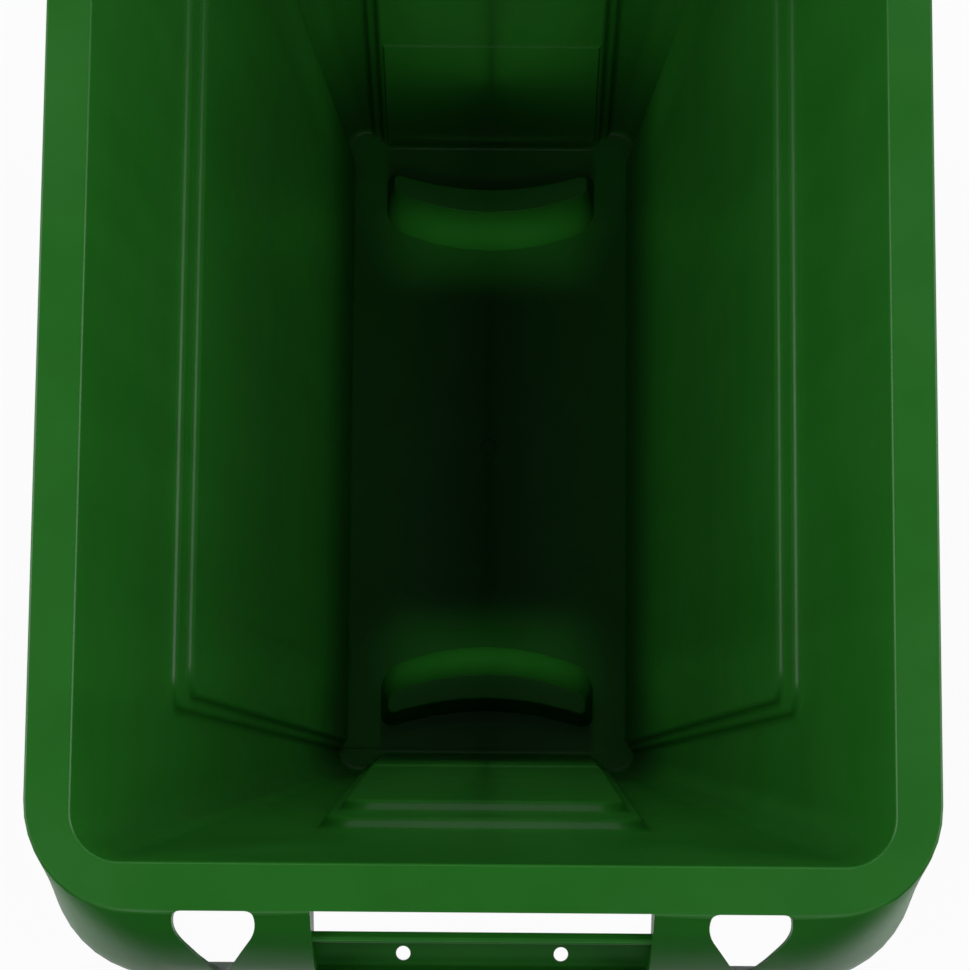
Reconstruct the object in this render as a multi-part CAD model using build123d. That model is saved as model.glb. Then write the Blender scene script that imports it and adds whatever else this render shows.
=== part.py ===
from build123d import *
import math
import os

# Overall sizes, in mm
height = 762.0
rim_width = 279.4
overall_length = 558.8

# Rim
rim_band = 14.6
rim_thickness = 4.0
rim_corner_radius = 33.0
rim_flange_drop = 25.0
mouth_round = 1.5
mouth_corner_radius = 15.0

# Walls and floor; a draft is how far one wall leans out from the floor to the mouth
wall = 3.0
side_draft = 24.0
end_draft = 17.3
floor_corner_radius = 12.0
floor_thickness = 4.0
foot_height = 8.0

# Side panels, pressed inwards, and what the venting channels leave them of the side walls
side_panel_inset = 6.3
side_panel_head_drop = 168.0
side_panel_end_ramp = 5.0
side_panel_head_ramp = 18.0
side_channel_foot_width = 20.4
side_channel_head_width = 49.8

# End panels, pressed inwards, and what the venting channels leave them of the end walls
end_panel_inset = 10.2
end_panel_head_drop = 176.0
end_panel_end_ramp = 6.0
end_panel_head_ramp = 30.0
end_channel_foot_width = 25.1
end_channel_head_width = 63.5
panel_corner_radius = 12.0

# Raised step at the foot of each end panel
step_rise = 1.2
step_height = 186.0
step_margin = 3.0

# Seams between the panels and the venting channels
seam_margin = 4.0

# Flared skirt that turns each end of the rim into a handle
skirt_flare = 24.1
skirt_depth = 55.0
skirt_top_angle = 60.0
skirt_hem_angle = 0.0
skirt_corner_radius = 37.0
skirt_corner_swell = 11.0
skirt_section_count = 7
cheek_start_gap = 55.3
cheek_end_gap = 19.3

# Hand hole in each skirt, with a web at each side that ties the skirt to the wall
hand_hole_width = 104.0
hand_hole_drop = 9.0
hand_hole_edge = 4.0
web_thickness = 3.0
web_foot_drop = 42.0

# Finger trough below each hand hole
ridge_gap = 17.3
ridge_bevel = 1.8
ridge_top_width = 1.4
trough_slope = 1.8
trough_floor_drop = 32.0
trough_floor_width = 7.4
trough_lip = 3.0
drain_hole_diameter = 4.6
drain_hole_spacing = 50.0

# Bag cinches, one teardrop hole each side of a hand hole
cinch_offset = 81.5
cinch_drop_along_skirt = 4.8
cinch_head_radius = 12.6
cinch_tip_radius = 3.5
cinch_reach = 16.7

# Hollow grips that rise from the floor
grip_side_gap = 29.1
grip_depth = 43.7
grip_end_gap = 41.7
grip_inner_arc_radius = 161.0
grip_outer_arc_radius = 200.0
grip_height = 28.0
grip_inner_slope = 20.0
grip_outer_slope = 8.0
grip_end_slope = 6.0
grip_corner_radius = 11.0
grip_head_corner_radius = 5.0
grip_corner_limit_share = 0.4

# Mark of the moulding gate in the middle of the floor
gate_mark_diameter = 10.0
gate_mark_depth = 0.8

# Length by which a cut passes what it cuts
overrun = 6.0

floor_level = foot_height + floor_thickness
inner_depth = height - floor_level
seat_level = height - rim_thickness
rim_length = overall_length - 2 * skirt_flare
mouth_width = rim_width - 2 * rim_band
mouth_length = rim_length - 2 * rim_band
floor_width = mouth_width - 2 * side_draft
floor_length = mouth_length - 2 * end_draft
side_panel_height = inner_depth - side_panel_head_drop
end_panel_height = inner_depth - end_panel_head_drop
cheek_start = rim_length / 2 - cheek_start_gap
cheek_end = rim_length / 2 - cheek_end_gap
ridge_reach = overall_length / 2 - ridge_gap
grip_length = floor_width - 2 * grip_side_gap
grip_outer_edge = floor_length / 2 - grip_end_gap
grip_inner_edge = grip_outer_edge - grip_depth
reach = 2 * overall_length


def share_up(z):
    return (z - floor_level) / inner_depth


def inner_width(z):
    return floor_width + (mouth_width - floor_width) * share_up(z)


def inner_length(z):
    return floor_length + (mouth_length - floor_length) * share_up(z)


def inner_radius(z):
    return floor_corner_radius + (mouth_corner_radius - floor_corner_radius) * share_up(z)


def outline(z, grow):
    """Rounded rectangle of the bin's inside at height z, grown on all sides."""
    return Pos(0, 0, z) * RectangleRounded(
        inner_width(z) + 2 * grow, inner_length(z) + 2 * grow, inner_radius(z) + grow
    )


def tapered_block(low, high, grow):
    return loft([outline(low, grow), outline(high, grow)], ruled=True)


def slab(low, high):
    """Everything between two heights."""
    return Pos(0, 0, (low + high) / 2) * Box(reach, reach, high - low)


def band(half_x, half_y):
    """Upright block about the middle of the bin; a size of zero means no limit."""
    return Box(2 * half_x if half_x else 2 * reach, 2 * half_y if half_y else 2 * reach, 2 * reach)


def side_wall_plane():
    """Inner face of the right wall: x along the wall, y up it, z outwards."""
    return Plane(
        origin=(floor_width / 2, 0, floor_level),
        x_dir=(0, 1, 0),
        z_dir=(inner_depth, 0, -side_draft),
    )


def end_wall_plane():
    """Inner face of the front wall: x along the wall, y up it, z outwards."""
    return Plane(
        origin=(0, -floor_length / 2, floor_level),
        x_dir=(1, 0, 0),
        z_dir=(0, -inner_depth, -end_draft),
    )


def side_panel_widths():
    """Widths of a side panel at its foot and at its head."""
    head_length = inner_length(floor_level + side_panel_height)
    return floor_length - 2 * side_channel_foot_width, head_length - 2 * side_channel_head_width


def end_panel_widths():
    """Widths of an end panel at its foot and at its head."""
    head_length = inner_width(floor_level + end_panel_height)
    return floor_width - 2 * end_channel_foot_width, head_length - 2 * end_channel_head_width


def panel_outline(foot_width, head_width, panel_height, spread, head_spread):
    """Tapered panel, its foot carried below the floor along its own edges."""
    narrowing = (foot_width - head_width) / 2 / panel_height
    foot_drop = floor_level + overrun
    foot_half = foot_width / 2 + spread + narrowing * foot_drop
    head_half = head_width / 2 + spread - narrowing * head_spread
    head = panel_height + head_spread
    corners = [(-foot_half, -foot_drop), (foot_half, -foot_drop), (head_half, head), (-head_half, head)]
    face = make_face(Polyline(*corners, close=True))
    return fillet(face.vertices().sort_by(Axis.Y)[-2:], panel_corner_radius)


def pressed_panel(plane, foot_width, head_width, panel_height, inset, end_ramp, head_ramp, offset):
    """Block that presses a panel inwards by its inset, with ramps at its ends and head.

    An offset of one wall gives the outside of the same panel."""
    end_pull = offset * math.tan(math.atan2(inset, end_ramp) / 2)
    head_pull = offset * math.tan(math.atan2(inset, head_ramp) / 2)
    deep = offset - inset
    proud = offset + overrun
    growth = (proud - deep) / inset
    low = panel_outline(foot_width, head_width, panel_height, -end_pull, -head_pull)
    high = panel_outline(
        foot_width, head_width, panel_height, end_ramp * growth - end_pull, head_ramp * growth - head_pull
    )
    sections = [plane.offset(deep) * low, plane.offset(proud) * high]
    return loft(sections, ruled=True)


def side_panels(offset):
    right = pressed_panel(
        side_wall_plane(),
        *side_panel_widths(),
        side_panel_height,
        side_panel_inset,
        side_panel_end_ramp,
        side_panel_head_ramp,
        offset,
    )
    return [right, mirror(right, Plane.YZ)]


def end_panels(offset):
    front = pressed_panel(
        end_wall_plane(),
        *end_panel_widths(),
        end_panel_height,
        end_panel_inset,
        end_panel_end_ramp,
        end_panel_head_ramp,
        offset,
    )
    return [front, mirror(front, Plane.XZ)]


def end_steps(offset):
    """Low pads at the foot of the end panels, a little further in than the panels."""
    foot_width, head_width = end_panel_widths()
    narrowing = (foot_width - head_width) / end_panel_height
    step_foot_width = foot_width - 2 * step_margin
    front = pressed_panel(
        end_wall_plane(),
        step_foot_width,
        step_foot_width - narrowing * step_height,
        step_height,
        end_panel_inset + step_rise,
        step_rise,
        step_rise,
        offset,
    )
    return [front, mirror(front, Plane.XZ)]


def cavity():
    """The inside of the bin, open at both ends, with all panels pressed in."""
    space = tapered_block(-overrun, height + overrun, 0)
    return space - side_panels(0) - end_panels(0) - end_steps(0)


def walls(inside):
    """All four walls below the rim, of one thickness."""
    body = tapered_block(0, seat_level, wall)
    body = body - side_panels(wall) - end_panels(wall) - end_steps(wall)
    return body - inside


def skirt_radius():
    turn = math.cos(math.radians(skirt_hem_angle)) - math.cos(math.radians(skirt_top_angle))
    return skirt_flare / turn


def skirt_centre():
    """Height and reach of the centre that the skirt's curve turns about."""
    start = math.radians(skirt_top_angle)
    return rim_length / 2 - skirt_radius() * math.cos(start), height - skirt_radius() * math.sin(start)


def skirt_point(angle, depth):
    """Reach and height on the skirt's curve, a depth below its outer face."""
    reach_centre, height_centre = skirt_centre()
    turn = math.radians(angle)
    radius = skirt_radius() - depth
    return reach_centre + radius * math.cos(turn), height_centre + radius * math.sin(turn)


def skirt_block(depth):
    """Solid flared end block, rim outline at the top and hem outline at the bottom."""
    sections = []
    for i in range(skirt_section_count):
        share = i / (skirt_section_count - 1)
        angle = skirt_top_angle + (skirt_hem_angle - skirt_top_angle) * share
        half_length, z = skirt_point(angle, depth)
        radius = rim_corner_radius + (skirt_corner_radius - rim_corner_radius) * share
        radius += skirt_corner_swell * math.sin(math.pi * share)
        shape = RectangleRounded(rim_width - 2 * depth, 2 * half_length, radius - depth)
        sections.append(Pos(0, 0, z) * shape)
    hem = Pos(0, 0, height - skirt_depth) * shape
    return loft(sections) + loft([sections[-1], hem], ruled=True)


def hem_cutter():
    """What lies below the hem: shallow along the sides, deep at both ends."""
    deep = height - skirt_depth
    shallow = height - rim_flange_drop
    points = [
        (-reach, deep),
        (-cheek_end, deep),
        (-cheek_start, shallow),
        (cheek_start, shallow),
        (cheek_end, deep),
        (reach, deep),
        (reach, -reach),
        (-reach, -reach),
    ]
    face = make_face(Polyline(*points, close=True))
    return extrude(Plane.YZ * face, amount=reach, both=True)


def cinch_holes():
    """Four teardrop holes cut straight up through the skirts, wide under the rim and narrow below."""
    turn = cinch_drop_along_skirt / skirt_radius()
    angle = math.radians(skirt_top_angle) - turn
    reach_at, height_at = skirt_point(math.degrees(angle), 0)
    plane = Plane(
        origin=(cinch_offset, -reach_at, height_at),
        x_dir=(1, 0, 0),
        z_dir=(0, -math.cos(angle), math.sin(angle)),
    )
    head = CenterArc((0, 0), cinch_head_radius, 0, 360)
    tip = CenterArc((0, -cinch_reach), cinch_tip_radius, 0, 360)
    hole = extrude(plane * make_hull([head, tip]), amount=skirt_depth, dir=(0, 0, 1), both=True)
    front_pair = [hole, mirror(hole, Plane.YZ)]
    return front_pair + [mirror(one, Plane.XZ) for one in front_pair]


def brim(inside):
    """Rim, flanges and flared skirts in one, before they are parted."""
    hollow = skirt_block(wall) & slab(0, seat_level)
    body = skirt_block(0) - hollow - inside - hem_cutter()
    hand_hole = band(hand_hole_width / 2, 0)
    beyond_rim = Box(reach, reach, 2 * reach) - band(0, rim_length / 2)
    return body - (hand_hole & beyond_rim) - [hole & beyond_rim for hole in cinch_holes()]


def rounded_mouth(top):
    """The brim with the inner edge of its rim rounded over."""
    on_rim = [edge for edge in top.edges() if edge.bounding_box().min.Z > (seat_level + height) / 2]
    half_x = (mouth_width + rim_band) / 2
    half_y = (mouth_length + rim_band) / 2
    inner = [edge for edge in on_rim if abs(edge.center().X) < half_x and abs(edge.center().Y) < half_y]
    return fillet(inner, mouth_round)


def side_of(x_sign, y_sign):
    """Everything on one side of X and of Y; a sign of zero takes both sides."""
    x_size = reach if x_sign else 2 * reach
    y_size = reach if y_sign else 2 * reach
    return Pos(x_sign * reach / 2, y_sign * reach / 2, 0) * Box(x_size, y_size, 2 * reach)


def seam_block(plane, foot_width, head_width, panel_height, end_ramp, inset):
    """Wedge that holds one panel and the wall above it, between two seams."""
    narrowing = (foot_width - head_width) / 2 / panel_height
    foot_half = foot_width / 2 + end_ramp + seam_margin
    low = -floor_level - overrun
    high = inner_depth + overrun
    points = [
        (-foot_half + narrowing * low, low),
        (foot_half - narrowing * low, low),
        (foot_half - narrowing * high, high),
        (-foot_half + narrowing * high, high),
    ]
    face = make_face(Polyline(*points, close=True))
    return extrude(plane * face, amount=inset + wall + overrun, both=True)


def side_seam_block():
    return seam_block(
        side_wall_plane(),
        *side_panel_widths(),
        side_panel_height,
        side_panel_end_ramp,
        side_panel_inset,
    )


def end_seam_block():
    return seam_block(
        end_wall_plane(),
        *end_panel_widths(),
        end_panel_height,
        end_panel_end_ramp,
        end_panel_inset + step_rise,
    )


def wall_pieces(body):
    """The walls, parted into foot, panels, upper walls and venting channels."""
    right_block = side_seam_block()
    front_block = end_seam_block()
    wedges = {
        "right": (right_block, side_panel_height + side_panel_head_ramp),
        "left": (mirror(right_block, Plane.YZ), side_panel_height + side_panel_head_ramp),
        "front": (front_block, end_panel_height + end_panel_head_ramp),
        "rear": (mirror(front_block, Plane.XZ), end_panel_height + end_panel_head_ramp),
    }
    pieces = {}
    corners = body
    for name, (wedge, panel_top) in wedges.items():
        part = body & wedge
        seam = floor_level + panel_top + seam_margin
        pieces["foot_" + name] = part & slab(-overrun, floor_level)
        pieces[name + "_panel"] = part & slab(floor_level, seam)
        pieces[name + "_upper_wall"] = part & slab(seam, height)
        corners = corners - wedge
    for y_name, y_sign in (("front", -1), ("rear", 1)):
        for x_name, x_sign in (("left", -1), ("right", 1)):
            name = "vent_channel_" + y_name + "_" + x_name
            pieces[name] = corners & side_of(x_sign, y_sign)
    return pieces


def mirrored_set(pieces, name, shape):
    """Keep a front right shape under its name at all four corners."""
    right_rear = mirror(shape, Plane.XZ)
    pieces[name + "_front_right"] = shape
    pieces[name + "_front_left"] = mirror(shape, Plane.YZ)
    pieces[name + "_rear_right"] = right_rear
    pieces[name + "_rear_left"] = mirror(right_rear, Plane.YZ)


def end_pair(pieces, name, shape):
    """Keep a front shape under its name at both ends."""
    pieces[name + "_front"] = shape
    pieces[name + "_rear"] = mirror(shape, Plane.XZ)


def skirt_angle(at_reach):
    """Angle on the skirt's curve where its outer face has this reach."""
    reach_centre, _ = skirt_centre()
    return math.degrees(math.acos((at_reach - reach_centre) / skirt_radius()))


def front_profile(edges, half_width):
    """Solid with a profile of (reach, height) points, across the front end."""
    return extrude(mirror(Plane.YZ * make_face(edges), Plane.XZ), amount=half_width, both=True)


def finger_trough():
    """Ridge, gutter and hem under the hand hole, all of one bent wall."""
    hem_reach = overall_length / 2
    hem = height - skirt_depth
    floor_top = height - trough_floor_drop
    floor_under = floor_top - wall
    ridge_top = height - hand_hole_drop
    lip_reach = hem_reach - trough_lip
    ridge_outer_reach = ridge_reach + ridge_bevel + ridge_top_width
    foot_reach = ridge_outer_reach + trough_slope
    outer_foot_reach = foot_reach + trough_floor_width
    lip_angle = skirt_angle(lip_reach)
    lip_top = skirt_point(lip_angle, 0)
    curve_end = skirt_point(skirt_hem_angle, 0)
    curve_middle = skirt_point((lip_angle + skirt_hem_angle) / 2, 0)
    inside_line = Polyline(
        (hem_reach, curve_end[1]),
        (hem_reach, hem),
        (hem_reach - wall, hem),
        (hem_reach - wall, floor_under),
        (foot_reach - wall, floor_under),
        (ridge_reach, ridge_top - wall),
        (ridge_reach, ridge_top - ridge_bevel),
        (ridge_reach + ridge_bevel, ridge_top),
        (ridge_outer_reach, ridge_top),
        (foot_reach, floor_top),
        (outer_foot_reach, floor_top),
        lip_top,
    )
    curve = ThreePointArc(lip_top, curve_middle, curve_end)
    trough = front_profile([inside_line, curve], hand_hole_width / 2)
    drain = Cylinder(drain_hole_diameter / 2, 2 * wall)
    for x_sign in (-1, 1):
        place = Pos(x_sign * drain_hole_spacing / 2, -(foot_reach + outer_foot_reach) / 2, floor_top)
        trough = trough - place * drain
    return trough


def hand_hole_web():
    """Right side of the front hand hole: edge of the skirt, end of the trough, and a gusset to the wall."""
    hem = height - skirt_depth
    hem_inside = overall_length / 2 - wall
    under_foot = [
        (hem_inside, hem),
        (mouth_length / 2, height - web_foot_drop),
        (0, height - web_foot_drop),
        (0, hem - overrun),
        (hem_inside, hem - overrun),
    ]
    inner_face = hand_hole_width / 2
    gusset_face = inner_face + hand_hole_edge
    outer_face = gusset_face + web_thickness
    block = skirt_block(0) & slab(0, seat_level) & side_of(1, -1)
    block = (block & band(outer_face, 0)) - band(inner_face, 0) - tapered_block(0, height, wall)
    block = block - front_profile(Polyline(*under_foot, close=True), reach)
    window_side = skirt_block(wall) & slab(0, seat_level) & band(gusset_face, ridge_reach)
    return block - window_side


def brim_pieces(top):
    """The brim, parted into rim bars, flanges, rim corners and the pieces of both skirts."""
    pieces = {}
    bar_y = rim_length / 2 - rim_corner_radius
    bar_x = rim_width / 2 - rim_corner_radius
    plate = top & slab(seat_level, height + overrun)
    under = top & slab(-overrun, seat_level)
    side_plate = plate & band(0, bar_y)
    flange = under & band(0, cheek_start)
    for name, x_sign in (("left", -1), ("right", 1)):
        pieces["rim_" + name] = side_plate & side_of(x_sign, 0)
        pieces["rim_flange_" + name] = flange & side_of(x_sign, 0)
    end_plate = plate - band(0, bar_y)
    end_pair(pieces, "rim", end_plate & band(bar_x, 0) & side_of(0, -1))
    mirrored_set(pieces, "rim_corner", (end_plate - band(bar_x, 0)) & side_of(1, -1))
    skirt = (under - band(0, cheek_start)) & side_of(1, -1)
    web_face = hand_hole_width / 2 + hand_hole_edge + web_thickness
    mirrored_set(pieces, "skirt_corner", skirt - band(bar_x, 0))
    mirrored_set(pieces, "cinch_plate", (skirt & band(bar_x, 0)) - band(web_face, 0))
    mirrored_set(pieces, "hand_hole_web", hand_hole_web())
    end_pair(pieces, "finger_trough", finger_trough())
    return pieces


def grip_outline(z, inner_pull, outer_pull, end_pull, radius):
    """Crescent of the front floor grip, its ends bowed towards the end wall."""
    half = grip_length / 2 - end_pull
    inner_edge = -grip_inner_edge - inner_pull
    outer_edge = -grip_outer_edge + outer_pull
    inner_bow = grip_inner_arc_radius - math.sqrt(grip_inner_arc_radius**2 - half**2)
    outer_bow = grip_outer_arc_radius - math.sqrt(grip_outer_arc_radius**2 - half**2)
    inner_left = (-half, inner_edge - inner_bow)
    inner_right = (half, inner_edge - inner_bow)
    outer_left = (-half, outer_edge - outer_bow)
    outer_right = (half, outer_edge - outer_bow)
    edges = [
        ThreePointArc(inner_left, (0, inner_edge), inner_right),
        Line(inner_right, outer_right),
        ThreePointArc(outer_right, (0, outer_edge), outer_left),
        Line(outer_left, inner_left),
    ]
    face = make_face(edges)
    end_width = inner_left[1] - outer_left[1]
    corner_radius = min(radius, grip_corner_limit_share * end_width)
    return Pos(0, 0, z) * fillet(face.vertices(), corner_radius)


def grip_foot(depth):
    """Crescent where a grip stands in the floor, or the mouth of its pocket one wall in."""
    return grip_outline(0, depth, depth, depth, grip_corner_radius - depth)


def grip_head(depth):
    inner_pull = grip_inner_slope + depth
    outer_pull = grip_outer_slope + depth
    end_pull = grip_end_slope + depth
    return grip_outline(0, inner_pull, outer_pull, end_pull, grip_head_corner_radius)


def floor_grip():
    """Hollow grip at the front: a crescent boss above, a finger pocket beneath."""
    head_level = floor_level + grip_height
    boss = loft([Pos(0, 0, floor_level) * grip_foot(0), Pos(0, 0, head_level) * grip_head(0)], ruled=True)
    collar = extrude(Pos(0, 0, foot_height) * grip_foot(0), amount=floor_thickness)
    pocket_top = Pos(0, 0, head_level - wall) * grip_head(wall)
    pocket = loft([Pos(0, 0, floor_level) * grip_foot(wall), pocket_top], ruled=True)
    mouth = extrude(Pos(0, 0, foot_height) * grip_foot(wall), amount=floor_thickness)
    return boss + collar - pocket - mouth


def floor_pieces(inside):
    """Floor plate with its gate mark, and the two grips that stand in it."""
    pieces = {}
    plate = inside & slab(foot_height, floor_level)
    grip_hole = extrude(Pos(0, 0, foot_height - overrun) * grip_foot(0), amount=floor_thickness + 2 * overrun)
    gate_mark = Pos(0, 0, floor_level) * Cylinder(gate_mark_diameter / 2, 2 * gate_mark_depth)
    pieces["floor_plate"] = plate - grip_hole - mirror(grip_hole, Plane.XZ) - gate_mark
    end_pair(pieces, "floor_grip", floor_grip())
    return pieces


if __name__ == "__main__":
    os.makedirs("parts", exist_ok=True)
    inside = cavity()
    nodes = wall_pieces(walls(inside))
    nodes.update(brim_pieces(rounded_mouth(brim(inside))))
    nodes.update(floor_pieces(inside))
    for name, shape in nodes.items():
        export_step(shape, "parts/" + name + ".step")
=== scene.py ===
import bmesh
import bpy
import collections
import copy
import math
from mathutils import Matrix, Vector


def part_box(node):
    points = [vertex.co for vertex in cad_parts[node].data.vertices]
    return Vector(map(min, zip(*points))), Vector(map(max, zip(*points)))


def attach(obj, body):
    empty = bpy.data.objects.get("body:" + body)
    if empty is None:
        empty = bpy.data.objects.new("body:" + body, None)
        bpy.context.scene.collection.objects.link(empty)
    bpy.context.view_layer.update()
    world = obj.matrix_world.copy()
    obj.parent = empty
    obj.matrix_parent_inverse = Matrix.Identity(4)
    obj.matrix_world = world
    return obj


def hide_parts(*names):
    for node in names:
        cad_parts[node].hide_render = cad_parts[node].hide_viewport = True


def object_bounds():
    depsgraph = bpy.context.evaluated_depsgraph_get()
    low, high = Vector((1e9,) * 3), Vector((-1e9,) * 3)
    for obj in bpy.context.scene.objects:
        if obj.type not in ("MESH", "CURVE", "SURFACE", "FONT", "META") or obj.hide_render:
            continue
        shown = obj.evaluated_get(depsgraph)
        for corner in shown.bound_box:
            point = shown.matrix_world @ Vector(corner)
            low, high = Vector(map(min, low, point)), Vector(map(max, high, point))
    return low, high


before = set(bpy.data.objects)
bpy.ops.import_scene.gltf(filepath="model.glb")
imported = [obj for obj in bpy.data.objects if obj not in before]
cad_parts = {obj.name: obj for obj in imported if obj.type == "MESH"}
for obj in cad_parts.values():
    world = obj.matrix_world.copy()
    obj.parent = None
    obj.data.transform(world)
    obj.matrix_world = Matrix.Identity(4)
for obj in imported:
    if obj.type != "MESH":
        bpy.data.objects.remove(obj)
cad_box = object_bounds()

mm = 0.001
tolerance = 0.02 * mm
cut_tolerance = tolerance / 10

# How nearly alike two directions are, as the cosine between them
face_likeness = 0.999
panel_likeness = 0.9995
straight_likeness = 0.9999
upright_likeness = 0.9

# Shading stays sharp past the first angle, a crease past the second is a corner of the walls,
# and one below the third is taken out
smooth_angle = math.radians(35)
wall_corner_angle = math.radians(70)
flat_angle = math.radians(1)
round_segments = 3

# Camera: where it stands over the near end, how it is turned, and its lens in pixels of the photo
picture_size = 970
camera_place = Vector((1.68, -205.13, 1368.28)) * mm
camera_pan = 0.0027
camera_tilt = 0.0948
camera_roll = 0.0078
focal_pixels = 1985.755
optical_axis_row = 556.88
sensor_width = 36.0

# Studio
floor_half_size = 3.0
floor_colour = (0.82, 0.82, 0.82, 1)
floor_camera_share = 0.92
floor_roughness = 0.9
world_colour = (0.75, 0.85, 1.0, 1)
world_strength = 0.06
lamp_distance = 1.8

# Soft panels round the mouth, in metres and watts; those that lean to a side stand in pairs
StudioLamp = collections.namedtuple("StudioLamp", "name side_lean end_lean width length power")
studio_lamps = (
    StudioLamp("side_panel_lamp", math.radians(64), 0, 1.2, 2.0, 29),
    StudioLamp("corner_lamp", math.radians(40), math.radians(55), 0.5, 0.5, 5.2),
    StudioLamp("far_end_lamp", 0, math.radians(38), 1.2, 0.35, 2.7),
    StudioLamp("near_end_lamp", 0, math.radians(-38), 1.2, 0.35, 4.4),
)

# Lamps inside the bin, in mirrored pairs that shine away from each other
InnerLamp = collections.namedtuple("InnerLamp", "name way reach width height level slope spread power")
inner_lamps = (
    InnerLamp("inner_side_lamp", (1, 0, 0), 0.0, 0.42, 0.56, 0.42, 0, math.radians(180), 0.28),
    InnerLamp("inner_end_lamp", (0, 1, 0), 0.15, 0.14, 0.50, 0.42, 0, math.radians(180), 0.09),
    InnerLamp("grip_lamp", (0, 1, 0), 0.0, 0.13, 0.01, 0.10, -0.53, math.radians(24), 0.006),
)

# Green moulded plastic
plastic_colour_low = (0.0125, 0.1190, 0.0098, 1)
plastic_colour_high = (0.0143, 0.1290, 0.0112, 1)
plastic_roughness_low = 0.28
plastic_roughness_high = 0.38
plastic_specular = 0.3
streak_scale = 40
streak_height_share = 0.08
cloud_scale = 14
fine_detail = 2
streak_detail = 3
cloud_detail = 4
peel_scale = 420
peel_strength = 0.12
peel_depth = 0.05 * mm
noise_low = 0.35
noise_high = 0.65

# Sizes that the frame gives
low_corner, high_corner = cad_box
height = high_corner[2]
overall_length = high_corner[1] - low_corner[1]
rim_width = high_corner[0] - low_corner[0]
floor_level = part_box("floor_plate")[1][2]
floor_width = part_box("floor_plate")[1][0] * 2
floor_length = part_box("floor_plate")[1][1] * 2

# Rim and walls
rim_band = 14.6 * mm
wall = 3.0 * mm
skirt_flare = 24.1 * mm
rim_length = overall_length - 2 * skirt_flare
mouth_width = rim_width - 2 * rim_band
mouth_length = rim_length - 2 * rim_band
inner_depth = height - floor_level
floor_thickness = 4.0 * mm
tub_head = height - 5.0 * mm
wall_corner_radius = 14.0 * mm

# Panels pressed into the side walls and the end walls
Panel = collections.namedtuple("Panel", "foot_half head_half height end_ramp head_ramp inset")
side_panel = Panel(
    foot_half=202.0 * mm,
    head_half=186.0 * mm,
    height=582.0 * mm,
    end_ramp=7.2 * mm,
    head_ramp=18.0 * mm,
    inset=6.3 * mm,
)
side_panel_step_run = 1.8 * mm
end_panel = Panel(
    foot_half=74.6 * mm,
    head_half=54.6 * mm,
    height=574.0 * mm,
    end_ramp=8.8 * mm,
    head_ramp=30.0 * mm,
    inset=10.2 * mm,
)
end_panel_step_run = 2.4 * mm

panel_corner_radius = 12.0 * mm
panel_fillet = 3.05 * mm
fillet_segments = 6

# Low pad at the foot of each end panel
pad_rise = 1.2 * mm
pad_height = 186.0 * mm
pad_margin = 3.0 * mm

# Hollow fillet between the floor and the walls
foot_fillet = 3.0 * mm
foot_fillet_steps = 3

# Hollow grips that rise from the floor
grip_half_length = 72.0 * mm
grip_outer_edge = 181.7 * mm
grip_inner_edge = 138.0 * mm
grip_inner_arc_radius = 161.0 * mm
grip_outer_arc_radius = 200.0 * mm
grip_height = 28.0 * mm
grip_inner_slope = 20.0 * mm
grip_outer_slope = 8.0 * mm
grip_end_slope = 6.0 * mm
grip_corner_radius = 11.0 * mm
grip_head_corner_radius = 5.0 * mm
grip_head_fillet = 2.0 * mm
grip_inset_share = 0.8
grip_slices = 8
gate_radius = 5.0 * mm
gate_depth = 0.8 * mm
gate_flare = 1.2
small_hole_sides = 32

# Brim: rounded mouth and rim, and the skirts that flare out at the ends
mouth_corner_radius = 15.0 * mm
rim_corner_radius = 33.0 * mm
rim_round = 1.0 * mm
rim_round_steps = 3
rim_flange_drop = 25.0 * mm
corner_segments = 10
loop_spacing = 0.1
skirt_depth = 55.0 * mm
skirt_sections = 7
skirt_start_angle = math.radians(60)
skirt_radius = skirt_flare / (1 - math.cos(skirt_start_angle))
skirt_centre_reach = overall_length / 2 - skirt_radius
skirt_centre_height = height - skirt_radius * math.sin(skirt_start_angle)
skirt_corner_growth = 4.0 * mm
skirt_corner_swell = 11.0 * mm
cheek_start_gap = 55.3 * mm
cheek_end_gap = 19.3 * mm

# Openings through the skirts
hand_hole_width = 104.0 * mm
hand_hole_foot_drop = 38.0 * mm
hand_hole_far_reach = 276.0 * mm
cinch_offset = 81.5 * mm
cinch_sides = 48
cinch_head_radius = 12.6 * mm
cinch_head_share = 0.812
cinch_head_reach = 259.3 * mm
cinch_tip_radius = 3.5 * mm
cinch_tip_reach = 272.9 * mm
cinch_flat_reach = 255.3 * mm
cinch_corner = 2.0 * mm

# Gussets beside the hand holes and the finger troughs between them
web_thickness = 4.0 * mm
web_root_reach = 241.5 * mm
web_foot_rise = 13.0 * mm
trough_wall = 2.0 * mm
trough_crease = 0.6 * mm
trough_root_reach = 262.1 * mm
trough_root_drop = 10.8 * mm
ridge_inner_reach = 263.9 * mm
ridge_outer_reach = 265.3 * mm
ridge_drop = 9.0 * mm
trough_floor_inner_reach = 267.1 * mm
trough_floor_outer_reach = 274.5 * mm
trough_floor_drop = 32.0 * mm
trough_lip_reach = 275.8 * mm
trough_lip_drop = 29.5 * mm
trough_path = (
    (ridge_inner_reach, ridge_drop),
    (ridge_outer_reach, ridge_drop),
    (trough_floor_inner_reach, trough_floor_drop),
    (trough_floor_outer_reach, trough_floor_drop),
    (trough_lip_reach, trough_lip_drop),
)
drain_hole_radius = 2.3 * mm
drain_hole_offset = 25.0 * mm
drain_hole_reach = 270.8 * mm


def add_object(name):
    """The primitive that was just added, named and with its place in its mesh."""
    piece = bpy.context.active_object
    piece.name = name
    bpy.ops.object.transform_apply(location=True, rotation=True, scale=True)
    return piece


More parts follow.
